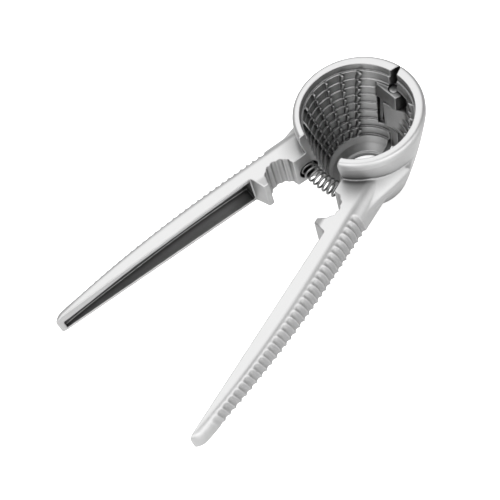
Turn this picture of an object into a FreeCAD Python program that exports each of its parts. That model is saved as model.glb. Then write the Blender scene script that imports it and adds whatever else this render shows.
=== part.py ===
import FreeCAD
import Part
import math
import os

# Spring-open nutcracker: two cast halves of a tapered cup, each in one piece with a jaw and a handle.
# Millimetres. +Z up the cup's axis, handles toward -Y, X = 0 between the two halves.
# Each casting is drawn as the right half of the closed tool, its parting face on the plane X = 0
# and the cup's axis at the origin, then swung about the pin to the open rest position.
# The left half is the mirror image. Last, all is moved so that the middle of its length is Y = 0.

V = FreeCAD.Vector
Z_AXIS = V(0, 0, 1)

MIDDLE_SHIFT_Y = 53.6

# Hinge
PIN_Y = 19.6
PIN_R = 2.0
PIN_LENGTH = 34.7
PIN_BASE_Z = 3.8
PIN_CHAMFER = 0.4
BORE_RUNNING_R = 2.05
OPEN_ANGLE = 12.4
LUG_HALF_WIDTH = 4.2
LUG_REACH = 6.8
BARREL_R = 4.6
LUG_LEVELS = ((3.2, 15.9), (16.1, 30.6), (30.8, 38.7))
LUG_CLEARANCE_R = 7.6
WALL_SKIN = 1.5
SWEEP_R = 5.9
SWEEP_DROP = 1.4
BARREL_CLEARANCE_R = 4.9
LUG_GAP = 0.2
LUG_FACE_Y = 17.0
LUG_FACE_SLOPE = 0.04
LUG_FACE_TILT = 6.0
NOTCH_SLOPE = 17.7
NOTCH_GAP = 0.08
NOTCH_LENGTH = 8.0

# Cup
CUP_HEIGHT = 48.0
CUP_OUTER_R = 25.0
RIM_ROUND = 1.6
OUTER_WAIST = (21.2, 24.0)
OUTER_FOOT = (15.8, 3.0)
FOOT_R = 13.6
RIM_INNER_R = 21.1
BORE_SHIFT_X = 0.6
BORE_SHIFT_Y = -0.7
RIM_STEP_Z = 44.5
STEP_COUNT = 9
STEP_PITCH = 4.5
STEP_TOP_R = 20.3
STEP_SHRINK = 0.34
STEP_CURVE = 0.047
FOOT_LEDGE_Z = 2.4
FOOT_LEDGE_R = 11.2
FOOT_HOLE_R = 10.4
FOOT_CURVE = (13.6, 5.2)

# Columns of teeth: thin ribs across the steps, straight along X so that the half leaves its mould
TOOTH_COUNT = 6
TOOTH_FIRST = 38.5
TOOTH_PITCH = 19.2
TOOTH_FOOT_FIRST = 26.5
TOOTH_FOOT_PITCH = 12.0
TOOTH_WIDTH = 0.9
TOOTH_HEIGHT = 1.5

# Handle
TOP_Z = 36.0
ROOT_BOTTOM_Z = 18.4
TIP_BOTTOM_Z = 25.9
LAND_FRONT_Y = -27.8
ROOT_X = 10.9
ROOT_Y = -16.0
TIP_Y = -136.6
TIP_X = 3.4
HANDLE_OUTER = ((13.9, -18.6), (13.6, -47.0), (12.4, -76.0), (9.6, -105.0), (4.9, -134.6))
HANDLE_INNER_ROOT = (4.9, -45.6)
HANDLE_INNER_TIP = (2.0, -134.8)
SHOULDER_R = 2.4
LOWER_EDGE_R = 1.4
FLANGE = 2.0
WEB = 2.6
CHANNEL_START_Y = -47.6
CHANNEL_END_Y = -132.4
CHANNEL_DROP_Y = -95.0
CHANNEL_DROP = 3.0
NOSE_R = 3.6
NEAR = 0.1
BEYOND = 1.0

# Grip ribs
RIB_COUNT = 30
RIB_PITCH = 2.9
RIB_FIRST_Y = -34.0
RIB_GROOVE_R = 1.6
RIB_DEPTH = 0.75
RIB_TOP_Z = 33.4

# Jaw
RECESS_X = -0.9
RECESS_Y = -34.8
RECESS_R = 6.0
SCALLOP_COUNT = 5
SCALLOP_PITCH = 27.0
SCALLOP_R = 1.5
SCALLOP_OUT = 4.9
PRONG_TIP_X = -0.8
PRONG_IN_Y = -41.6
PRONG_OUT_Y = -43.2
FACET_TOP_X = 2.5
FACET_DROP = 1.5

# Spring and its seats
SEAT_Y = -22.9
SEAT_Z = 25.3
SEAT_R = 4.15
SEAT_DEPTH = 6.6
SPRING_R = 2.95
WIRE_R = 0.45
SPRING_TURNS = 14
SPRING_END_GAP = 0.8
POINTS_PER_TURN = 12

PIN = V(0, PIN_Y, 0)


def polar(radius, degrees):
    angle = math.radians(degrees)
    return radius * math.cos(angle), radius * math.sin(angle)


def swing(shape, degrees):
    turned = shape.copy()
    turned.rotate(PIN, Z_AXIS, degrees)
    return turned


def to_closed(x, y):
    # A point of the open tool, carried back to the closed position of the right half.
    moved = FreeCAD.Rotation(Z_AXIS, -OPEN_ANGLE).multVec(V(x, y, 0) - PIN)
    return moved + PIN


def cylinder(x, y, z_low, z_high, radius):
    return Part.makeCylinder(radius, z_high - z_low, V(x, y, z_low))


def box(x0, x1, y0, y1, z0, z1):
    return Part.makeBox(x1 - x0, y1 - y0, z1 - z0, V(x0, y0, z0))


def prism(points, direction):
    return Part.Face(Part.makePolygon(points + points[:1])).extrude(direction)


def turned_body(edges, centre):
    # Revolve a closed outline, drawn as (radius, z) in the XZ plane, about a vertical axis.
    solid = Part.Face(Part.Wire(edges)).revolve(V(0, 0, 0), Z_AXIS, 360)
    solid.translate(V(centre.x, centre.y, 0))
    return solid


def line(a, b):
    return Part.makeLine(V(a[0], 0, a[1]), V(b[0], 0, b[1]))


def arc(a, b, c):
    return Part.Arc(V(a[0], 0, a[1]), V(b[0], 0, b[1]), V(c[0], 0, c[1])).toShape()


def cup_outside(skin=0):
    # The cup's outer surface, or one that lies a skin's thickness inside it.
    round_z = CUP_HEIGHT - RIM_ROUND
    round_x = CUP_OUTER_R - skin - RIM_ROUND
    dx, dz = polar(RIM_ROUND, 45)
    side = CUP_OUTER_R - skin
    band = (side, RIM_STEP_Z)
    foot_edge = (OUTER_FOOT[0] - skin, OUTER_FOOT[1])
    edges = [
        line((0, CUP_HEIGHT), (round_x, CUP_HEIGHT)),
        arc((round_x, CUP_HEIGHT), (round_x + dx, round_z + dz), (side, round_z)),
        line((side, round_z), band),
        arc(band, (OUTER_WAIST[0] - skin, OUTER_WAIST[1]), foot_edge),
        line(foot_edge, (FOOT_R - skin, 0)),
        line((FOOT_R - skin, 0), (0, 0)),
        line((0, 0), (0, CUP_HEIGHT)),
    ]
    return turned_body(edges, to_closed(0, 0))


def step_radius(k):
    return STEP_TOP_R - STEP_SHRINK * k - STEP_CURVE * k * k


def cup_inside(inset):
    # Nine steps narrow the bore from the rim down to a smooth bowl with an open foot.
    # Each step is narrower by the inset at its top and runs out to its own radius below.
    above = CUP_HEIGHT + BEYOND
    points = [(0, above), (RIM_INNER_R, above), (RIM_INNER_R, RIM_STEP_Z)]
    for k in range(STEP_COUNT):
        z = RIM_STEP_Z - k * STEP_PITCH
        points.append((step_radius(k) - inset, z))
        if k < STEP_COUNT - 1:
            points.append((step_radius(k), z - STEP_PITCH))
    bowl_start = points[-1]
    ledge = (FOOT_LEDGE_R, FOOT_LEDGE_Z)
    hole = (FOOT_HOLE_R, FOOT_LEDGE_Z)
    edges = [line(a, b) for a, b in zip(points, points[1:])]
    edges.append(arc(bowl_start, FOOT_CURVE, ledge))
    edges.append(line(ledge, hole))
    edges.append(line(hole, (FOOT_HOLE_R, -BEYOND)))
    edges.append(line((FOOT_HOLE_R, -BEYOND), (0, -BEYOND)))
    edges.append(line((0, -BEYOND), points[0]))
    return turned_body(edges, bore_centre())


def bore_centre():
    return to_closed(BORE_SHIFT_X, BORE_SHIFT_Y)


def teeth():
    # Upright slabs whose sides run along X, cut to the shape of the steps.
    centre = bore_centre()
    last = STEP_COUNT - 1
    z_low = RIM_STEP_Z - last * STEP_PITCH
    half = TOOTH_WIDTH / 2
    slabs = []
    for k in range(TOOTH_COUNT):
        top = centre.y + polar(step_radius(0), TOOTH_FIRST - k * TOOTH_PITCH)[1]
        foot = centre.y + polar(step_radius(last), TOOTH_FOOT_FIRST - k * TOOTH_FOOT_PITCH)[1]
        corners = [(top - half, RIM_STEP_Z), (top + half, RIM_STEP_Z), (foot + half, z_low), (foot - half, z_low)]
        slabs.append(prism([V(0, y, z) for y, z in corners], V(CUP_OUTER_R, 0, 0)))
    wall = cup_inside(0).cut(cup_inside(TOOTH_HEIGHT))
    return [slab.common(wall).common(parting_side()) for slab in slabs]


def handle_plan():
    # The jaw and handle seen from above, from inside the cup out to the tip.
    corners = [
        (ROOT_X, ROOT_Y),
        (0, ROOT_Y),
        (0, RECESS_Y),
        (PRONG_TIP_X, PRONG_IN_Y),
        (PRONG_TIP_X, PRONG_OUT_Y),
        HANDLE_INNER_ROOT,
        HANDLE_INNER_TIP,
    ]
    points = [V(x, y, 0) for x, y in corners]
    edges = [Part.makeLine(a, b) for a, b in zip(points, points[1:])]
    nose = V(TIP_X, TIP_Y, 0)
    curve = Part.BSplineCurve()
    curve.interpolate([V(x, y, 0) for x, y in HANDLE_OUTER])
    flank_end = V(HANDLE_OUTER[-1][0], HANDLE_OUTER[-1][1], 0)
    edges.append(Part.Arc(points[-1], nose, flank_end).toShape())
    edges.append(curve.toShape())
    edges.append(Part.makeLine(V(HANDLE_OUTER[0][0], HANDLE_OUTER[0][1], 0), points[0]))
    return Part.Face(Part.Wire(Part.__sortEdges__(edges)))


def side_profile(corners):
    # A shape seen from the side, given as (y, z), drawn right across the half.
    return prism([V(-CUP_OUTER_R, y, z) for y, z in corners], V(2 * CUP_OUTER_R, 0, 0))


def outer_side(nose_r):
    # The handle from the side: level top, tapering underside and, if asked, a rounded nose.
    solid = side_profile([(ROOT_Y + BEYOND, TOP_Z), (ROOT_Y + BEYOND, ROOT_BOTTOM_Z),
                          (TIP_Y, TIP_BOTTOM_Z), (TIP_Y, TOP_Z)])
    if nose_r == 0:
        return solid
    ends = [e for e in solid.Edges if e.Length > 2 * CUP_OUTER_R - NEAR and abs(e.CenterOfMass.y - TIP_Y) < NEAR]
    return solid.makeFillet(nose_r, ends)


def handle_body():
    slab = handle_plan().extrude(V(0, 0, CUP_HEIGHT))
    body = slab.common(outer_side(0))
    lower = [e for e in body.Edges if is_flank_edge(e) and e.CenterOfMass.z < TIP_BOTTOM_Z]
    body = body.makeFillet(LOWER_EDGE_R, lower)
    upper = [e for e in body.Edges if is_flank_edge(e) and e.CenterOfMass.z > TOP_Z - NEAR]
    body = body.makeFillet(SHOULDER_R, upper)
    return body.common(outer_side(NOSE_R))


def is_flank_edge(edge):
    along = LAND_FRONT_Y - TIP_Y
    return edge.Length > 0.8 * along and edge.CenterOfMass.x > HANDLE_OUTER[0][0] / 2


def underside(y):
    share = (y - ROOT_Y) / (TIP_Y - ROOT_Y)
    return ROOT_BOTTOM_Z + (TIP_BOTTOM_Z - ROOT_BOTTOM_Z) * share


def channel():
    # The hollow of the handle, open toward the other handle, its ceiling lower near the tip.
    inside_x = HANDLE_INNER_TIP[0] - CUP_OUTER_R
    flank = [(x - WEB, y) for x, y in HANDLE_OUTER if CHANNEL_END_Y < y < CHANNEL_START_Y]
    start = (HANDLE_OUTER[1][0] - WEB, CHANNEL_START_Y)
    end = (HANDLE_INNER_TIP[0] + NEAR, CHANNEL_END_Y)
    outline = [(inside_x, CHANNEL_START_Y), (inside_x, CHANNEL_END_Y), end] + flank[::-1] + [start]
    plan = prism([V(x, y, 0) for x, y in outline], V(0, 0, CUP_HEIGHT))
    ceiling = TOP_Z - FLANGE
    hollow = [(CHANNEL_START_Y, ceiling), (CHANNEL_START_Y, underside(CHANNEL_START_Y) + FLANGE),
              (CHANNEL_END_Y, underside(CHANNEL_END_Y) + FLANGE), (CHANNEL_END_Y, ceiling - CHANNEL_DROP),
              (CHANNEL_DROP_Y, ceiling)]
    return plan.common(side_profile(hollow))


def grip_grooves():
    flank = Part.BSplineCurve()
    flank.interpolate([V(x, y, 0) for x, y in HANDLE_OUTER])
    grooves = []
    for k in range(RIB_COUNT):
        y = RIB_FIRST_Y - k * RIB_PITCH
        hit = flank.intersectCC(Part.makeLine(V(0, y, 0), V(CUP_OUTER_R, y, 0)).Curve)[0]
        x = hit.X + RIB_GROOVE_R - RIB_DEPTH
        grooves.append(cylinder(x, y, 0, RIB_TOP_Z, RIB_GROOVE_R))
    return grooves


def jaw_recess():
    cuts = [cylinder(RECESS_X, RECESS_Y, 0, CUP_HEIGHT, RECESS_R)]
    middle = (SCALLOP_COUNT - 1) / 2
    for k in range(SCALLOP_COUNT):
        dx, dy = polar(SCALLOP_OUT, (k - middle) * SCALLOP_PITCH)
        cuts.append(cylinder(RECESS_X + dx, RECESS_Y + dy, 0, CUP_HEIGHT, SCALLOP_R))
    return cuts


def prong_facet():
    # The top of the prong falls toward its point.
    out_y = HANDLE_INNER_ROOT[1]
    far_x = PRONG_TIP_X - BEYOND
    slope = FACET_DROP / (FACET_TOP_X - PRONG_TIP_X)
    points = [V(FACET_TOP_X, out_y, TOP_Z), V(FACET_TOP_X, out_y, TOP_Z + BEYOND), V(far_x, out_y, TOP_Z + BEYOND),
              V(far_x, out_y, TOP_Z - slope * (FACET_TOP_X - far_x))]
    return prism(points, V(0, RECESS_Y - out_y, 0))


def parting_side():
    # The right half's side of the parting face; the prong alone reaches a little past it.
    far = 2 * CUP_HEIGHT
    side = box(0, far, TIP_Y - BEYOND, far, -BEYOND, far)
    return side.fuse(box(PRONG_TIP_X, BEYOND, HANDLE_INNER_ROOT[1], RECESS_Y, -BEYOND, far))


def rear_notch():
    # The rim halves meet on a line at the back and open inward in a V.
    apex_y = CUP_OUTER_R
    front_y = apex_y - NOTCH_LENGTH
    back_y = apex_y + BEYOND
    spread = NOTCH_LENGTH * math.tan(math.radians(NOTCH_SLOPE))
    corners = [(NOTCH_GAP, back_y), (NOTCH_GAP, apex_y), (spread, front_y),
               (-NOTCH_LENGTH, front_y), (-NOTCH_LENGTH, back_y)]
    points = [to_closed(x, y) - V(0, 0, BEYOND) for x, y in corners]
    return prism(points, V(0, 0, CUP_HEIGHT + 2 * BEYOND))


def lug_clearances(levels):
    # Room for the other half's knuckles: a pit behind the wall's outer skin, the sweep of the
    # knuckle's block, and a close fit round the barrel.
    cuts = []
    reach = LUG_CLEARANCE_R + BEYOND
    within = cup_outside(WALL_SKIN)
    for low, high in levels:
        z0 = low - LUG_GAP
        z1 = high + LUG_GAP
        pit = cylinder(0, PIN_Y, z0, z1, LUG_CLEARANCE_R).common(within)
        cuts.append(pit.common(box(-reach, reach, PIN_Y - reach, PIN_Y, z0, z1)))
        sweep = cylinder(0, PIN_Y, z0, z1, SWEEP_R)
        cuts.append(sweep.common(box(-reach, reach, PIN_Y - reach, PIN_Y - SWEEP_DROP, z0, z1)))
        cuts.append(cylinder(0, PIN_Y, z0, z1, BARREL_CLEARANCE_R))
    return cuts


def lug_front(low, high):
    # The space in front of a knuckle's flat face, which leans with the wall and turns toward it.
    reach = CUP_OUTER_R
    lean = LUG_FACE_SLOPE * (high - low)
    turn = math.tan(math.radians(LUG_FACE_TILT)) * reach
    face = LUG_FACE_Y - LUG_FACE_SLOPE * (CUP_HEIGHT - low)
    left = [V(-reach, face + turn, low), V(-reach, face + turn + lean, high), V(-reach, 0, high), V(-reach, 0, low)]
    right = [V(reach, face - turn, low), V(reach, face - turn + lean, high), V(reach, 0, high), V(reach, 0, low)]
    ends = [Part.Wire(Part.makePolygon(corners + corners[:1])) for corners in (left, right)]
    return Part.makeLoft(ends, True, True)


def lug(low, high):
    # A knuckle round the pin and its root, which stays within the outer wall.
    block = box(-LUG_HALF_WIDTH, LUG_HALF_WIDTH, 0, PIN_Y, low, high)
    root = box(0, LUG_REACH, 0, CUP_OUTER_R, low, high).common(cup_outside())
    body = block.fuse([root, cylinder(0, PIN_Y, low, high, BARREL_R)])
    return body.cut(lug_front(low, high))


def spring_seat():
    return Part.makeCylinder(SEAT_R, SEAT_DEPTH + BEYOND, V(-BEYOND, SEAT_Y, SEAT_Z), V(1, 0, 0))


def casting(own_levels, other_levels, bore_r):
    # The right half, closed. Levels above the top knuckle belong to the plain rim.
    body = cup_outside().fuse(handle_body())
    body = body.common(parting_side())
    body = body.cut(cup_inside(0)).fuse(teeth())
    cuts = [rear_notch(), channel(), prong_facet(), spring_seat()]
    cuts += jaw_recess() + grip_grooves() + lug_clearances(other_levels)
    body = largest(body.cut(Part.makeCompound(cuts)))
    body = body.fuse([lug(low, high) for low, high in own_levels])
    body = body.cut(cylinder(0, PIN_Y, 0, own_levels[-1][1], bore_r))
    return largest(body.removeSplitter())


def largest(shape):
    return max(shape.Solids, key=lambda solid: solid.Volume)


def hinge_pin():
    pin = Part.makeCylinder(PIN_R, PIN_LENGTH, V(0, PIN_Y, PIN_BASE_Z))
    rims = [edge for edge in pin.Edges if abs(edge.Length - 2 * math.pi * PIN_R) < 0.01]
    return pin.makeChamfer(PIN_CHAMFER, rims)


def coil_spring():
    # A compression coil whose centre line is an arc about the pin, seat to seat.
    radius = PIN_Y - SEAT_Y
    seat_angle = math.degrees((SEAT_DEPTH - WIRE_R - SPRING_END_GAP) / radius)
    reach = OPEN_ANGLE + seat_angle
    count = SPRING_TURNS * POINTS_PER_TURN
    points = []
    for k in range(count + 1):
        along = -reach + 2 * reach * k / count
        out, up = polar(SPRING_R, 360.0 * k / POINTS_PER_TURN)
        dx, dy = polar(radius + out, along - 90)
        points.append(V(dx, PIN_Y + dy, SEAT_Z + up))
    path = Part.BSplineCurve()
    path.interpolate(points)
    start = path.tangent(path.FirstParameter)[0]
    section = Part.Wire(Part.makeCircle(WIRE_R, points[0], start))
    sweep = Part.BRepOffsetAPI.MakePipeShell(Part.Wire(path.toShape()))
    sweep.setFrenetMode(True)
    sweep.add(section)
    sweep.build()
    sweep.makeSolid()
    return sweep.shape()


def save(name, shape):
    shape.translate(V(0, MIDDLE_SHIFT_Y, 0))
    shape.exportStep("parts/" + name + ".step")
    print(name, shape.isValid(), len(shape.Solids), round(shape.Volume, 1))


def main():
    os.makedirs("parts", exist_ok=True)
    outer_levels = (LUG_LEVELS[0], LUG_LEVELS[2])
    middle_level = (LUG_LEVELS[1],)
    right = casting(middle_level, outer_levels, BORE_RUNNING_R)
    left = casting(outer_levels, middle_level, PIN_R)
    save("right_half", swing(right, OPEN_ANGLE))
    save("left_half", swing(left.mirror(V(0, 0, 0), V(1, 0, 0)), -OPEN_ANGLE))
    save("hinge_pin", hinge_pin())
    save("coil_spring", coil_spring())


main()
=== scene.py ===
import bpy
import math
import numpy as np
from mathutils import Matrix, Vector


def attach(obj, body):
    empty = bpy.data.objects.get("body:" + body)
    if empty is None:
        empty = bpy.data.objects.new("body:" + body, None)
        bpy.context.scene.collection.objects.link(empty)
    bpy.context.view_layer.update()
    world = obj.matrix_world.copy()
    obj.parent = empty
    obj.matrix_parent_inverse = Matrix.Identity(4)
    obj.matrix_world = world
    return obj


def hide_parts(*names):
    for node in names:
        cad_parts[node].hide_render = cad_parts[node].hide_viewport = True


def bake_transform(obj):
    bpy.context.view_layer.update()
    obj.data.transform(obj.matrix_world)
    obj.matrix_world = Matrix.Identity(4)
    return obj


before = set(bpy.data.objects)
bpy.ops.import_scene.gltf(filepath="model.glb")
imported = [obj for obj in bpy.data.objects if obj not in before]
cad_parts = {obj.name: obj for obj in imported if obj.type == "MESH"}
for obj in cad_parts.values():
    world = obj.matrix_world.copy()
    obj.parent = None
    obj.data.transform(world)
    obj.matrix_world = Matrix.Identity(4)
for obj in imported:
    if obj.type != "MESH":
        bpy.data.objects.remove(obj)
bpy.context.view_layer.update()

# Spring-open nutcracker: two die-cast halves of a ribbed cup, a hinge pin and a coil spring.
# Lengths below are millimetres in the drawing frame of the closed right half: parting face on
# X = 0, cup axis near the origin, hinge pin at (0, PIN_Y). Objects are placed in metres in the
# CAD's row frame. Each casting is a signed distance field (negative inside) turned into a mesh,
# so that its edges and roots are as soft as a real casting's.

MM = 0.001
scene = bpy.context.scene

# Placing
MIDDLE_SHIFT_Y = 53.6
OPEN_ANGLE = math.radians(12.4)

# Grid: fine over the cup and jaw, coarser along the handle
CELL = 0.28
CELL_HANDLE = 0.34
MARGIN = 1.2
SPLIT_Y = -46.0
GRID_OFFSET_X = 0.37
GRID_OFFSET_Z = 0.41
TABLE_STEP = 0.05

# Hinge
PIN_Y = 19.6
PIN_R = 2.0
PIN_LOW = 3.8
PIN_HIGH = 38.5
PIN_CHAMFER = 0.4
PIN_CROWN = 0.05
PIN_CLEARANCE = 0.05
LUG_HALF_WIDTH = 4.2
LUG_REACH = 6.8
BARREL_R = 4.6
OUTER_LUGS = ((3.2, 15.9), (30.8, 38.7))
MIDDLE_LUG = ((16.1, 30.6),)
LUG_CLEARANCE_R = 7.6
WALL_SKIN = 1.5
SWEEP_R = 5.9
SWEEP_DROP = 1.4
SWEEP_SKIN = 0.6
BARREL_CLEARANCE_R = 4.9
LUG_GAP = 0.2
LUG_FACE_Y = 17.0
LUG_FACE_TILT = math.radians(6.0)
LUG_FACE_SLOPE = 0.04
NOTCH_SLOPE = math.radians(17.7)
NOTCH_GAP = 0.08
NOTCH_LENGTH = 8.0

# Cup
CUP_HEIGHT = 48.0
CUP_R = 25.0
RIM_ROUND = 1.6
BAND_Z = 44.5
WAIST = (21.2, 24.0)
FOOT_EDGE = (15.8, 3.0)
FOOT_R = 13.6
BORE_SHIFT = (0.6, -0.7)
RIM_INNER_R = 21.1
STEP_COUNT = 9
STEP_PITCH = 4.5
STEP_TOP_R = 20.3
STEP_SHRINK = 0.34
STEP_CURVE = 0.047
BOWL = (13.6, 5.2)
FOOT_LEDGE = (11.2, 2.4)
FOOT_HOLE_R = 10.4

# Teeth: small ribs across the steps, drawn out along X
TOOTH_COUNT = 6
TOOTH_FIRST = 38.5
TOOTH_PITCH = 19.2
TOOTH_FOOT_FIRST = 26.5
TOOTH_FOOT_PITCH = 12.0
TOOTH_WIDTH = 1.0
TOOTH_HEIGHT = 1.5
TOOTH_FOOT = 0.35

# Handle
TOP_Z = 36.0
ROOT_Z = 18.4
TIP_Z = 25.9
ROOT_Y = -12.0
LAND_FRONT_Y = -27.8
TIP_Y = -136.6
FLANK = ((13.9, -18.6), (13.6, -47.0), (12.4, -76.0), (9.6, -105.0), (4.9, -134.6))
INNER_ROOT = (4.9, -45.6)
INNER_TIP = (2.0, -134.8)
SHOULDER_ROOT = 3.2
SHOULDER_TIP = 2.0
LOWER_EDGE = 1.4
NOSE_R = 4.5
BULGE_ROOT = 2.0
BULGE_TIP = 0.9
WIDEST = 0.42
TUCK = 0.5
FLANGE = 2.0
LOW_FLANGE = 1.4
WEB = 2.6
WEB_TIP = 1.3
CHANNEL_START_Y = -46.0
CHANNEL_END_Y = -133.4
CHANNEL_DROP = 2.2
CHANNEL_DROP_Y = -95.0
ROOT_FILLET = 13.0
LOW_FILLET = 5.0
LOW_FILLET_RISE = (2.0, 9.0)
TOP_FILLET = 0.8
TOP_FILLET_FALL = (0.5, 5.5)
EDGE = 0.35
INNER_EDGE = 0.6 * EDGE

# Grip
RIB_COUNT = 33
RIB_PITCH = 2.9
RIB_FIRST_Y = -33.3
RIB_LEAN = 0.18
RIB_LEAN_Z = 30.0
RIB_DEPTH = 0.85
RIB_TOP_DROP = 1.1
RIB_FADE = 0.8
RIB_RUN_OUT = 3.0

# Jaw
RECESS = (-0.9, -34.8)
RECESS_R = 6.0
SCALLOP_COUNT = 5
SCALLOP_PITCH = 27.0
SCALLOP_R = 1.5
SCALLOP_OUT = 4.9
PRONG_X = -0.8
PRONG_IN_Y = -41.6
PRONG_OUT_Y = -43.2
FACET_X = 2.5
FACET_DROP = 1.5
FACET_RUN = 3.3

# Spring and seats
SEAT_Y = -22.9
SEAT_Z = 25.3
SEAT_R = 4.15
SEAT_DEPTH = 6.6
SPRING_R = 2.95
WIRE_R = 0.45
SPRING_TURNS = 15
SPRING_END_GAP = 0.8
CLOSED_TURNS = 1.6
CLOSED_PITCH = 2.3 * WIRE_R

# Camera: azimuth, elevation and roll in degrees; target and distance in row-frame millimetres
CAMERA_ANGLES = (61.10, 59.57, -20.65)
CAMERA_TARGET = (8.40, -15.21, 48.0)
CAMERA_DISTANCE = 424.64
CAMERA_LENS = 86.04


# ---------------------------------------------------------------- distance fields

def cut_round(a, b, radius):
    """Both a and b, their common edge rounded."""
    outer = np.hypot(np.maximum(a + radius, 0), np.maximum(b + radius, 0))
    return np.minimum(-radius, np.maximum(a, b)) + outer


def join_round(a, b, radius):
    """Either a or b, with a fillet where they meet."""
    inner = np.hypot(np.maximum(radius - a, 0), np.maximum(radius - b, 0))
    return np.maximum(radius, np.minimum(a, b)) - inner


def smooth_step(value, low, high):
    t = np.clip((value - low) / (high - low), 0, 1)
    return t * t * (3 - 2 * t)


def blended(first, second, share):
    """From first where share is 0 to second where it is 1."""
    return first + (second - first) * share


def polygon_distance(points, u, v):
    """Signed distance from (u, v) to a closed outline."""
    nearest = np.full(np.broadcast(u, v).shape, 1e9)
    within = np.zeros(nearest.shape, bool)
    for (x0, y0), (x1, y1) in zip(points, points[1:] + points[:1]):
        dx, dy = x1 - x0, y1 - y0
        along = np.clip(((u - x0) * dx + (v - y0) * dy) / (dx * dx + dy * dy), 0, 1)
        nearest = np.minimum(nearest, (u - x0 - along * dx) ** 2 + (v - y0 - along * dy) ** 2)
        if dy != 0:
            crosses = ((y0 > v) != (y1 > v)) & (u < x0 + dx * (v - y0) / dy)
            within ^= crosses
    return np.where(within, -1, 1) * np.sqrt(nearest)


def turned(profile, radius, z):
    """The field of an outline (radius, z) turned about an axis; radius is known in plan only."""
    steps = np.arange(0, radius.max() + 4 * TABLE_STEP, TABLE_STEP)
    table = polygon_distance(profile, steps[:, None], z.ravel()[None, :]).astype(np.float32)
    place = radius[..., 0] / TABLE_STEP
    low = place.astype(np.int32)
    share = (place - low)[..., None].astype(np.float32)
    return table[low] * (1 - share) + table[low + 1] * share


def to_open(x, y):
    """A point of the closed right half, carried to the open rest position."""
    c, s = math.cos(OPEN_ANGLE), math.sin(OPEN_ANGLE)
    return x * c - (y - PIN_Y) * s, x * s + (y - PIN_Y) * c + PIN_Y


def to_closed(x, y):
    c, s = math.cos(OPEN_ANGLE), math.sin(OPEN_ANGLE)
    return x * c + (y - PIN_Y) * s, -x * s + (y - PIN_Y) * c + PIN_Y


# ---------------------------------------------------------------- the cup

def wall_curve(count):
    """The tapering outside of the cup, from the band under the rim down to the foot."""
    heights = (BAND_Z, WAIST[1], FOOT_EDGE[1])
    radii = (CUP_R, WAIST[0], FOOT_EDGE[0])
    shape = np.polyfit(heights, radii, 2)
    levels = np.linspace(BAND_Z, FOOT_EDGE[1], count)
    return [(float(np.polyval(shape, z)), float(z)) for z in levels]


def outer_profile():
    turn = np.radians(np.linspace(90, 0, 7))
    rim = [(CUP_R + RIM_ROUND * (math.cos(a) - 1), CUP_HEIGHT + RIM_ROUND * (math.sin(a) - 1)) for a in turn]
    return [(-CUP_R, CUP_HEIGHT)] + rim + wall_curve(12) + [(FOOT_R, 0), (-CUP_R, 0)]


def step_radius(k):
    return STEP_TOP_R - STEP_SHRINK * k - STEP_CURVE * k * k


def bore_profile(inset):
    """The stepped bore, each step narrower by inset at its top and drawn back below."""
    points = [(-CUP_R, CUP_HEIGHT + MARGIN), (RIM_INNER_R, CUP_HEIGHT + MARGIN), (RIM_INNER_R, BAND_Z)]
    for k in range(STEP_COUNT):
        z = BAND_Z - k * STEP_PITCH
        points.append((step_radius(k) - inset, z))
        if k < STEP_COUNT - 1:
            points.append((step_radius(k) - inset * TOOTH_FOOT, z - STEP_PITCH))
    points += [BOWL, FOOT_LEDGE, (FOOT_HOLE_R, FOOT_LEDGE[1]), (FOOT_HOLE_R, -MARGIN), (-CUP_R, -MARGIN)]
    return points


def tooth_field(x, y, z, centre):
    """Thin upright slabs along X that stand in the bore, one for each column of teeth."""
    last = STEP_COUNT - 1
    low = BAND_Z - last * STEP_PITCH
    share = (z - low) / (BAND_Z - low)
    slabs = None
    for c in range(TOOTH_COUNT):
        top = step_radius(0) * math.sin(math.radians(TOOTH_FIRST - c * TOOTH_PITCH))
        foot = step_radius(last) * math.sin(math.radians(TOOTH_FOOT_FIRST - c * TOOTH_FOOT_PITCH))
        slab = np.abs(y - centre[1] - foot - (top - foot) * share) - TOOTH_WIDTH / 2
        slabs = slab if slabs is None else np.minimum(slabs, slab)
    ends = np.maximum(np.maximum(z - BAND_Z, low - z), centre[0] - x)
    return np.maximum(slabs, ends)


def hollow_field(x, y, z):
    centre = to_closed(*BORE_SHIFT)
    radius = np.hypot(x - centre[0], y - centre[1])
    wide = turned(bore_profile(0), radius, z)
    narrow = turned(bore_profile(TOOTH_HEIGHT), radius, z)
    return np.minimum(narrow, np.maximum(wide, -tooth_field(x, y, z, centre)))


# ---------------------------------------------------------------- the handle and jaw

def flank_x(y):
    xs = [p[0] for p in FLANK]
    ys = [p[1] for p in FLANK]
    return np.polyval(np.polyfit(ys, xs, len(FLANK) - 1), np.maximum(y, TIP_Y))


def underside_z(y):
    share = np.clip((y - ROOT_Y) / (TIP_Y - ROOT_Y), 0, 1)
    return ROOT_Z + (TIP_Z - ROOT_Z) * share


def groove_depth(y, z):
    """Hollows across the flank with sharp ribs between them, leaning and fading out at the shoulder."""
    phase = (RIB_FIRST_Y - y - RIB_LEAN * (z - RIB_LEAN_Z)) / RIB_PITCH
    share = phase - np.floor(phase)
    scallop = 1 - (2 * share - 1) ** 2
    inside = (phase > 0) * smooth_step(RIB_COUNT - phase, 0, RIB_RUN_OUT)
    fade = smooth_step(TOP_Z - RIB_TOP_DROP - z, -RIB_FADE, RIB_FADE)
    return RIB_DEPTH * scallop * inside * fade


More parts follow.
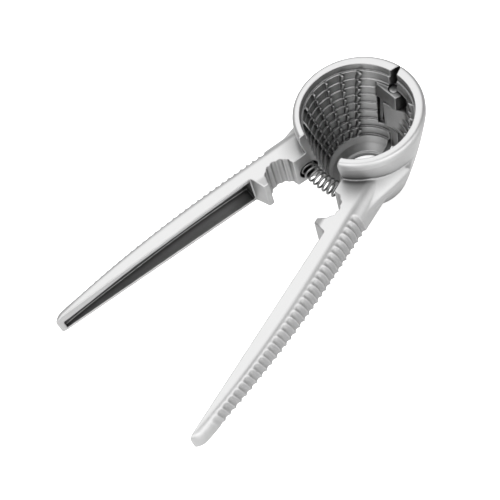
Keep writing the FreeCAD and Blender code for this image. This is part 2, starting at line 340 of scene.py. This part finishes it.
def channel_field(x, y, z, low):
    """The hollow on the handle's inner side, between its two flanges."""
    drop = CHANNEL_DROP * smooth_step(-y, -CHANNEL_DROP_Y, -CHANNEL_END_Y)
    web = blended(WEB_TIP, WEB, smooth_step(y, TIP_Y, CHANNEL_DROP_Y))
    channel = cut_round(x - flank_x(y) + web, z - TOP_Z + FLANGE + drop, EDGE)
    channel = cut_round(channel, low + LOW_FLANGE - z, EDGE)
    return cut_round(channel, np.maximum(CHANNEL_END_Y - y, y - CHANNEL_START_Y), EDGE)


def handle_field(x, y, z):
    low = underside_z(y)
    share = smooth_step(y, TIP_Y, LAND_FRONT_Y)
    widest = TOP_Z - (TOP_Z - low) * WIDEST
    bulge = blended(BULGE_TIP, BULGE_ROOT, share) * (np.maximum(z - widest, 0) / (TOP_Z - widest)) ** 2
    tuck = TUCK * (np.maximum(widest - z, 0) / (widest - low)) ** 2
    flank = x - flank_x(y) + bulge + tuck + groove_depth(y, z)
    body = cut_round(flank, TIP_Y - y, NOSE_R)
    body = cut_round(body, z - TOP_Z, blended(SHOULDER_TIP, SHOULDER_ROOT, share))
    body = cut_round(body, low - z, LOWER_EDGE)
    body = np.maximum(body, y - ROOT_Y)
    return cut_round(body, -channel_field(x, y, z, low), EDGE)


def parting_field(x, y):
    """The half's own side of its parting face, its prong and its handle's inner edge, in plan."""
    far = 2 * CUP_R
    prong = [(0, RECESS[1]), (PRONG_X, PRONG_IN_Y), (PRONG_X, PRONG_OUT_Y)]
    inner_edge = [INNER_ROOT, INNER_TIP, (INNER_TIP[0], TIP_Y - far)]
    outline = [(far, far), (0, far)] + prong + inner_edge + [(far, TIP_Y - far)]
    return polygon_distance(outline, x[..., 0], y[..., 0])[..., None].astype(np.float32)


def jaw_void(x, y):
    """The scalloped recess of the jaw."""
    void = np.hypot(x - RECESS[0], y - RECESS[1]) - RECESS_R
    for k in range(SCALLOP_COUNT):
        angle = math.radians((k - (SCALLOP_COUNT - 1) / 2) * SCALLOP_PITCH)
        cx = RECESS[0] + SCALLOP_OUT * math.cos(angle)
        cy = RECESS[1] + SCALLOP_OUT * math.sin(angle)
        void = np.minimum(void, np.hypot(x - cx, y - cy) - SCALLOP_R)
    return void


def facet_void(x, y, z):
    """The slope cut off the prong's upper corner."""
    length = math.hypot(FACET_DROP, FACET_RUN)
    above = ((z - TOP_Z) * FACET_RUN - (x - FACET_X) * FACET_DROP) / length
    return np.maximum(-above, np.maximum(INNER_ROOT[1] - y, y - RECESS[1]))


def seat_void(x, y, z):
    return np.maximum(np.hypot(y - SEAT_Y, z - SEAT_Z) - SEAT_R, x - SEAT_DEPTH)


def notch_void(x, y):
    """The slanting notch in the rim at the back, drawn in the open position."""
    ox, oy = to_open(x, y)
    slant = (ox - NOTCH_GAP - (CUP_R - oy) * math.tan(NOTCH_SLOPE)) * math.cos(NOTCH_SLOPE)
    return np.maximum(np.minimum(slant, ox - NOTCH_GAP), CUP_R - NOTCH_LENGTH - oy)


# ---------------------------------------------------------------- the hinge

def lug_field(x, y, z, low, high, outer):
    level = np.maximum(low - z, z - high)
    face = LUG_FACE_Y - LUG_FACE_SLOPE * (CUP_HEIGHT - z) - math.tan(LUG_FACE_TILT) * x
    barrel = np.hypot(x, y - PIN_Y) - BARREL_R
    block = np.maximum(np.abs(x) - LUG_HALF_WIDTH, y - PIN_Y)
    root = np.maximum(np.maximum(-x, x - LUG_REACH), outer + EDGE)
    plan = np.minimum(np.minimum(barrel, block), root)
    body = cut_round(plan, face - y, EDGE)
    return cut_round(body, level, EDGE)


def clearance_void(x, y, z, outer, levels):
    """Room for the other half's knuckles: a pit behind the wall's skin, the blocks' sweep, the barrels."""
    around = np.hypot(x, y - PIN_Y)
    pit = np.maximum(np.maximum(around - LUG_CLEARANCE_R, y - PIN_Y), outer + WALL_SKIN)
    beside = np.minimum(x - LUG_HALF_WIDTH - 2 * LUG_GAP, outer + SWEEP_SKIN)
    sweep = np.maximum(np.maximum(around - SWEEP_R, y - PIN_Y + SWEEP_DROP), beside)
    plan = np.minimum(np.minimum(pit, sweep), around - BARREL_CLEARANCE_R)
    cut = None
    for low, high in levels:
        part = np.maximum(plan, np.maximum(low - LUG_GAP - z, z - high - LUG_GAP))
        cut = part if cut is None else np.minimum(cut, part)
    return cut


def shared_field(x, y, z):
    """Everything the two halves have in common, and the cup's outside alone."""
    axis = to_closed(0, 0)
    outer = turned(outer_profile(), np.hypot(x - axis[0], y - axis[1]), z)
    handle = handle_field(x, y, z)
    wide = blended(LOW_FILLET, ROOT_FILLET, smooth_step(z - ROOT_Z, *LOW_FILLET_RISE))
    fillet = blended(TOP_FILLET, wide, smooth_step(TOP_Z - z, *TOP_FILLET_FALL))
    body = join_round(outer, handle, fillet.astype(np.float32))
    body = cut_round(body, parting_field(x, y), EDGE)
    body = cut_round(body, -hollow_field(x, y, z), INNER_EDGE)
    body = cut_round(body, -jaw_void(x, y), INNER_EDGE)
    body = cut_round(body, -facet_void(x, y, z), EDGE)
    body = cut_round(body, -seat_void(x, y, z), INNER_EDGE)
    body = cut_round(body, -notch_void(x, y), EDGE)
    return body, outer


def half_field(shared, outer, x, y, z, own, others):
    body = cut_round(shared, -clearance_void(x, y, z, outer, others), EDGE)
    for low, high in own:
        body = join_round(body, lug_field(x, y, z, low, high, outer), EDGE)
    bore = np.hypot(x, y - PIN_Y) - PIN_R - PIN_CLEARANCE
    bore_top = own[-1][1] + 1
    return np.maximum(body, -np.maximum(bore, z - bore_top))


# ---------------------------------------------------------------- field to mesh

CORNERS = [(i, j, k) for i in (0, 1) for j in (0, 1) for k in (0, 1)]
EDGES = [(a, b) for a in CORNERS for b in CORNERS
         if sum(b) - sum(a) == 1 and all(p <= q for p, q in zip(a, b))]


def surface_net(field, axes):
    """One vertex in each cell that the surface crosses, one quad for each grid edge it cuts."""
    inside = field < 0
    size = [n - 1 for n in field.shape]
    count = np.zeros(size, np.uint8)
    for i, j, k in CORNERS:
        count += inside[i:i + size[0], j:j + size[1], k:k + size[2]]
    crossed = (count > 0) & (count < 8)
    cells = np.argwhere(crossed)
    number = np.full(size, -1, np.int32)
    number[crossed] = np.arange(len(cells))
    total = np.zeros((len(cells), 3))
    hits = np.zeros(len(cells))
    for a, b in EDGES:
        first, second = cells + a, cells + b
        fa = field[tuple(first.T)]
        fb = field[tuple(second.T)]
        cut = (fa < 0) != (fb < 0)
        share = np.where(cut, fa / np.where(cut, fa - fb, 1), 0)
        for n in range(3):
            start, end = axes[n][first[:, n]], axes[n][second[:, n]]
            total[:, n] += cut * (start + share * (end - start))
        hits += cut
    quads = []
    for n in range(3):
        p, q = (n + 1) % 3, (n + 2) % 3
        here = [slice(None)] * 3
        there = [slice(None)] * 3
        here[n], there[n] = slice(0, -1), slice(1, None)
        starts = inside[tuple(here)]
        changes = np.argwhere(starts != inside[tuple(there)])
        changes = changes[(changes[:, p] > 0) & (changes[:, q] > 0)]
        changes = changes[(changes[:, p] < size[p]) & (changes[:, q] < size[q])]
        forward = starts[tuple(changes.T)]
        ring = []
        for dp, dq in ((1, 1), (0, 1), (0, 0), (1, 0)):
            cell = changes.copy()
            cell[:, p] -= dp
            cell[:, q] -= dq
            ring.append(number[tuple(cell.T)])
        ring = np.stack(ring, 1)
        quads.append(np.where(forward[:, None], ring, ring[:, ::-1]))
    return total / hits[:, None], np.concatenate(quads)


def grid_axes():
    fine = np.arange(SPLIT_Y, CUP_R + MARGIN + CELL, CELL)
    coarse = np.arange(SPLIT_Y - CELL_HANDLE, TIP_Y - MARGIN - CELL_HANDLE, -CELL_HANDLE)[::-1]
    xs = np.arange(-LUG_HALF_WIDTH - MARGIN, CUP_R + MARGIN, CELL)
    zs = np.arange(-MARGIN, CUP_HEIGHT + MARGIN + CELL, CELL)
    return xs + CELL * GRID_OFFSET_X, np.concatenate([coarse, fine]), zs + CELL * GRID_OFFSET_Z


def add_mesh(name, points, faces, material):
    """A smooth-shaded piece from points in metres and lists of point numbers."""
    mesh = bpy.data.meshes.new(name)
    mesh.from_pydata(points.tolist(), [], faces)
    mesh.materials.append(material)
    mesh.shade_smooth()
    obj = bpy.data.objects.new(name, mesh)
    scene.collection.objects.link(obj)
    return obj


def to_row(points, side):
    """Closed right half in millimetres to the rest place of either half in metres."""
    x, y = to_open(points[:, 0], points[:, 1])
    return np.stack([x * side, y + MIDDLE_SHIFT_Y, points[:, 2]], 1) * MM


def castings(material):
    axes = grid_axes()
    x = axes[0].astype(np.float32)[:, None, None]
    y = axes[1].astype(np.float32)[None, :, None]
    z = axes[2].astype(np.float32)[None, None, :]
    shared, outer = shared_field(x, y, z)
    halves = (("right", 1, MIDDLE_LUG, OUTER_LUGS), ("left", -1, OUTER_LUGS, MIDDLE_LUG))
    for name, side, own, others in halves:
        field = half_field(shared, outer, x, y, z, own, others)
        points, quads = surface_net(field.astype(np.float32), axes)
        if side < 0:
            quads = quads[:, ::-1]
        obj = add_mesh(name + "_casting", to_row(points, side), quads.tolist(), material)
        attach(obj, name)
        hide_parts(name + "_half")


# ---------------------------------------------------------------- materials

class Graph:
    """A small helper to add and join shader nodes."""

    def __init__(self, name):
        self.material = bpy.data.materials.new(name)
        self.material.use_nodes = True
        self.tree = self.material.node_tree
        self.shader = self.tree.nodes["Principled BSDF"]

    def add(self, kind):
        return self.tree.nodes.new(kind)

    def link(self, source, target):
        self.tree.links.new(source, target)


def noise(graph, coords, scale, detail=4.0, rough=0.55):
    node = graph.add("ShaderNodeTexNoise")
    node.inputs["Scale"].default_value = scale
    node.inputs["Detail"].default_value = detail
    node.inputs["Roughness"].default_value = rough
    graph.link(coords, node.inputs["Vector"])
    return node.outputs["Fac"]


def ramp(graph, value, low, high, dark, light):
    node = graph.add("ShaderNodeMapRange")
    node.inputs["From Min"].default_value = low
    node.inputs["From Max"].default_value = high
    node.inputs["To Min"].default_value = dark
    node.inputs["To Max"].default_value = light
    graph.link(value, node.inputs["Value"])
    return node.outputs["Result"]


def grey(graph, value):
    node = graph.add("ShaderNodeCombineColor")
    for name in ("Red", "Green", "Blue"):
        graph.link(value, node.inputs[name])
    return node.outputs["Color"]


def times(graph, first, second):
    node = graph.add("ShaderNodeMath")
    node.operation = "MULTIPLY"
    graph.link(first, node.inputs[0])
    graph.link(second, node.inputs[1])
    return node.outputs["Value"]


def hollow_shade(graph, reach, fullest, darkest):
    """Painted shade from ambient occlusion: 1 in the open, falling toward darkest in grooves, corners and
    deep hollows where shade falls; only a little of it stands for the matt finish that tumbling leaves
    there.
    """
    node = graph.add("ShaderNodeAmbientOcclusion")
    node.samples = 8
    node.inputs["Distance"].default_value = reach
    return ramp(graph, node.outputs["AO"], fullest, 1.0, darkest, 1.0)


def cast_metal():
    graph = Graph("cast_aluminium")
    coords = graph.add("ShaderNodeTexCoord").outputs["Object"]
    cloud = noise(graph, coords, 90.0)
    grain = noise(graph, coords, 1500.0, 3.0, 0.6)
    # Painted shade: the base colour is darkened in the deep cup, the channel and the rib grooves, where
    # shade falls.
    painted_shade = times(graph, hollow_shade(graph, 0.010, 0.45, 0.40), hollow_shade(graph, 0.0025, 0.6, 0.38))
    tone = times(graph, ramp(graph, cloud, 0.3, 0.7, 0.49, 0.53), painted_shade)
    graph.link(grey(graph, tone), graph.shader.inputs["Base Color"])
    graph.link(ramp(graph, cloud, 0.3, 0.7, 0.38, 0.44), graph.shader.inputs["Roughness"])
    graph.shader.inputs["Metallic"].default_value = 1.0
    bump = graph.add("ShaderNodeBump")
    bump.inputs["Strength"].default_value = 0.3
    bump.inputs["Distance"].default_value = 0.0001
    graph.link(grain, bump.inputs["Height"])
    graph.link(bump.outputs["Normal"], graph.shader.inputs["Normal"])
    return graph.material


def steel(name, low, high, rough):
    graph = Graph(name)
    coords = graph.add("ShaderNodeTexCoord").outputs["Object"]
    cloud = noise(graph, coords, 400.0)
    # Painted shade: the base colour is darkened in the tight corners of the pin and the coil.
    tone = times(graph, ramp(graph, cloud, 0.3, 0.7, low, high), hollow_shade(graph, 0.003, 0.3, 0.4))
    graph.link(grey(graph, tone), graph.shader.inputs["Base Color"])
    graph.link(ramp(graph, cloud, 0.3, 0.7, rough, rough + 0.08), graph.shader.inputs["Roughness"])
    graph.shader.inputs["Metallic"].default_value = 1.0
    return graph.material


# ---------------------------------------------------------------- pin and spring

def band_faces(rings, sides):
    """Quads that join each ring of points to the next."""
    faces = []
    for k in range(rings - 1):
        for i in range(sides):
            j = (i + 1) % sides
            faces.append((k * sides + i, k * sides + j, (k + 1) * sides + j, (k + 1) * sides + i))
    return faces


def lathe(name, outline, centre, material, body, sides=64):
    """Turn (radius, z) points about a vertical axis; the outline starts and ends on the axis."""
    turn = np.linspace(0, 2 * math.pi, sides, endpoint=False)
    rings = [(r * np.cos(turn), r * np.sin(turn), np.full(sides, z)) for r, z in outline[1:-1]]
    points = np.concatenate([np.stack(ring, 1) for ring in rings])
    ends = np.array([(0, 0, outline[0][1]), (0, 0, outline[-1][1])])
    points = np.concatenate([points, ends]) + np.array([centre[0], centre[1], 0])
    faces = band_faces(len(rings), sides)
    base = len(rings) * sides
    last = (len(rings) - 1) * sides
    for i in range(sides):
        j = (i + 1) % sides
        faces.append((base, j, i))
        faces.append((base + 1, last + i, last + j))
    obj = add_mesh(name, points * MM, faces, material)
    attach(obj, body)
    return obj


def hinge_pin(material):
    edge, face = PIN_R - PIN_CHAMFER, PIN_R - 2 * PIN_CHAMFER
    foot = [(0, PIN_LOW), (face, PIN_LOW), (edge, PIN_LOW + PIN_CROWN), (PIN_R, PIN_LOW + PIN_CHAMFER)]
    head = [(PIN_R, PIN_HIGH - PIN_CHAMFER), (edge, PIN_HIGH - PIN_CROWN), (face, PIN_HIGH), (0, PIN_HIGH)]
    obj = lathe("pin", foot + head, (0, PIN_Y + MIDDLE_SHIFT_Y), material, "left")
    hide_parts("hinge_pin")


def coil_path(per_turn):
    """The wire's centre line about an arc round the pin, its end turns wound close."""
    radius = PIN_Y - SEAT_Y
    reach = OPEN_ANGLE + (SEAT_DEPTH - WIRE_R - SPRING_END_GAP) / radius
    count = SPRING_TURNS * per_turn
    turn = np.linspace(0, SPRING_TURNS, count + 1)
    close = CLOSED_PITCH / radius
    open_turns = SPRING_TURNS - 2 * CLOSED_TURNS
    open_pitch = (2 * reach - 2 * CLOSED_TURNS * close) / open_turns
    along = -reach + np.where(
        turn < CLOSED_TURNS, turn * close,
        np.where(turn > SPRING_TURNS - CLOSED_TURNS,
                 2 * reach - (SPRING_TURNS - turn) * close,
                 CLOSED_TURNS * close + (turn - CLOSED_TURNS) * open_pitch))
    phase = turn * 2 * math.pi
    out = radius + SPRING_R * np.cos(phase)
    x = out * np.sin(along)
    y = PIN_Y + MIDDLE_SHIFT_Y - out * np.cos(along)
    z = SEAT_Z + SPRING_R * np.sin(phase)
    return np.stack([x, y, z], 1)


def coil_spring(material, per_turn=40, sides=12):
    path = coil_path(per_turn)
    ahead = np.gradient(path, axis=0)
    ahead /= np.linalg.norm(ahead, axis=1)[:, None]
    side = np.cross(ahead, (0, 1.0, 0))
    side /= np.linalg.norm(side, axis=1)[:, None]
    up = np.cross(side, ahead)
    turn = np.linspace(0, 2 * math.pi, sides, endpoint=False)
    ring = np.cos(turn)[:, None] * side[:, None, :] + np.sin(turn)[:, None] * up[:, None, :]
    points = (path[:, None, :] + WIRE_R * ring).reshape(-1, 3)
    faces = band_faces(len(path), sides)
    faces.append(tuple(range(sides))[::-1])
    faces.append(tuple(range((len(path) - 1) * sides, len(path) * sides)))
    obj = add_mesh("spring", points * MM, faces, material)
    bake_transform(obj)
    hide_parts("coil_spring")


# ---------------------------------------------------------------- floor, light, camera

def floor_material():
    graph = Graph("floor_paper")
    coords = graph.add("ShaderNodeTexCoord").outputs["Object"]
    cloud = noise(graph, coords, 3.0)
    tone = grey(graph, ramp(graph, cloud, 0.3, 0.7, 0.70, 0.72))
    graph.link(tone, graph.shader.inputs["Base Color"])
    graph.link(tone, graph.shader.inputs["Emission Color"])
    seen = graph.add("ShaderNodeLightPath").outputs["Is Camera Ray"]
    graph.link(ramp(graph, seen, 0.0, 1.0, 0.25, 1.2), graph.shader.inputs["Emission Strength"])
    graph.shader.inputs["Metallic"].default_value = 0.5
    graph.shader.inputs["Roughness"].default_value = 0.3
    return graph.material


def floor(half=3.0, gap=0.0002):
    mesh = bpy.data.meshes.new("floor")
    corners = [(-half, -half, 0), (half, -half, 0), (half, half, 0), (-half, half, 0)]
    mesh.from_pydata(corners, [], [(0, 1, 2, 3)])
    obj = bpy.data.objects.new("floor", mesh)
    scene.collection.objects.link(obj)
    mesh.materials.append(floor_material())
    obj.location.z = -gap


def area_light(name, location, target, size, power):
    data = bpy.data.lights.new(name, "AREA")
    data.shape = "SQUARE"
    data.size = size
    data.energy = power
    obj = bpy.data.objects.new(name, data)
    obj.location = location
    obj.rotation_mode = "QUATERNION"
    obj.rotation_quaternion = (Vector(target) - Vector(location)).to_track_quat("-Z", "Y")
    scene.collection.objects.link(obj)


def sky_patch(tree, direction, low, high, strength):
    """A soft-edged bright patch of the surroundings; low and high are cosines about its direction."""
    coords = tree.nodes.new("ShaderNodeTexCoord")
    facing = tree.nodes.new("ShaderNodeVectorMath")
    facing.operation = "DOT_PRODUCT"
    facing.inputs[1].default_value = Vector(direction).normalized()
    tree.links.new(coords.outputs["Generated"], facing.inputs[0])
    level = tree.nodes.new("ShaderNodeMapRange")
    level.interpolation_type = "SMOOTHSTEP"
    level.inputs["From Min"].default_value = low
    level.inputs["From Max"].default_value = high
    level.inputs["To Min"].default_value = 0.0
    level.inputs["To Max"].default_value = strength
    tree.links.new(facing.outputs["Value"], level.inputs["Value"])
    return level.outputs["Result"]


def world_light():
    """A dim room with a large soft box overhead, one at the right and a fainter one in front."""
    world = bpy.data.worlds.new("studio")
    world.use_nodes = True
    tree = world.node_tree
    even = ((0, 0, 1), -1.2, -1.1, 0.47)
    overhead = ((-0.45, 0.25, 0.86), 0.72, 0.96, 1.5)
    right = ((0.95, 0.1, 0.3), 0.7, 0.95, 1.5)
    front = ((0.4, -0.6, 0.7), 0.6, 0.95, 1.0)
    total = sky_patch(tree, *even)
    for patch in (overhead, right, front):
        joined = tree.nodes.new("ShaderNodeMath")
        tree.links.new(total, joined.inputs[0])
        tree.links.new(sky_patch(tree, *patch), joined.inputs[1])
        total = joined.outputs["Value"]
    tree.links.new(total, tree.nodes["Background"].inputs["Strength"])
    tree.nodes["Background"].inputs["Color"].default_value = (1.0, 1.0, 1.0, 1.0)
    scene.world = world


def camera():
    azimuth, elevation, roll = (math.radians(v) for v in CAMERA_ANGLES)
    flat = math.cos(elevation)
    back = Vector((math.sin(azimuth) * flat, -math.cos(azimuth) * flat, math.sin(elevation)))
    level = Vector((math.cos(azimuth), math.sin(azimuth), 0))
    up = back.cross(level)
    right = level * math.cos(roll) + up * math.sin(roll)
    top = up * math.cos(roll) - level * math.sin(roll)
    target = Vector(CAMERA_TARGET) * MM
    data = bpy.data.cameras.new("camera")
    data.sensor_width = 36.0
    data.lens = CAMERA_LENS
    data.clip_start = 0.01
    obj = bpy.data.objects.new("camera", data)
    basis = Matrix((right, top, back)).transposed().to_4x4()
    obj.matrix_world = Matrix.Translation(target + back * CAMERA_DISTANCE * MM) @ basis
    scene.collection.objects.link(obj)
    scene.camera = obj


castings(cast_metal())
hinge_pin(steel("pin_steel", 0.40, 0.46, 0.34))
coil_spring(steel("spring_steel", 0.25, 0.30, 0.28))
floor()
world_light()
camera()
area_light("key", (0.25, -0.8, 0.7), (0, 0, 0.03), 0.3, 1.2)
scene.view_settings.view_transform = "Standard"
